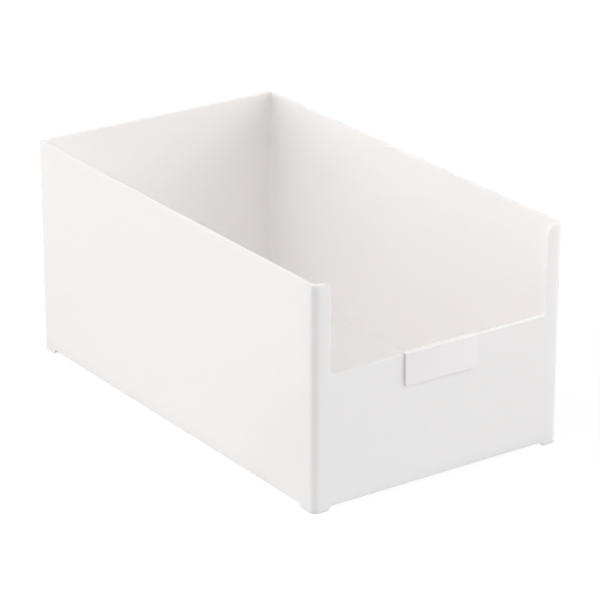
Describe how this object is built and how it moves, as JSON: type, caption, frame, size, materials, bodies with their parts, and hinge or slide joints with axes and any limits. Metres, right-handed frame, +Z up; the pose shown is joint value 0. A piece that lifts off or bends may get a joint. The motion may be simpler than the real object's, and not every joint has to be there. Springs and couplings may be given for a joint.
{
  "type": "drawer organizer tray",
  "caption": "Open-topped storage tray with tall sides and back, a low front wall between corner posts, moulded feet, and a label clip that slides along the front lip.",
  "frame": {"origin": "on the surface the feet stand on, under the middle of the tub's footprint; the label clip stands 1.3 mm in front of the tub, so the whole bounding box reaches 1.3 mm further at the front", "axes": "+X across the width, +Y from the low front wall towards the back wall, +Z up; the label clip faces -Y"},
  "size_m": [0.17, 0.2903, 0.1335],
  "materials": {
    "tub_plastic": "satin moulded white polypropylene",
    "clip_plastic": "satin moulded white polypropylene"
  },
  "bodies": {
    "tub": {"storage_tub": "tub_plastic"},
    "clip": {"label_clip": "clip_plastic"}
  },
  "joints": [
    {"name": "clip_slide", "type": "slide", "parent": "tub", "child": "clip", "axis": [1, 0, 0], "range_m": [-0.0469, 0.0469]}
  ]
}
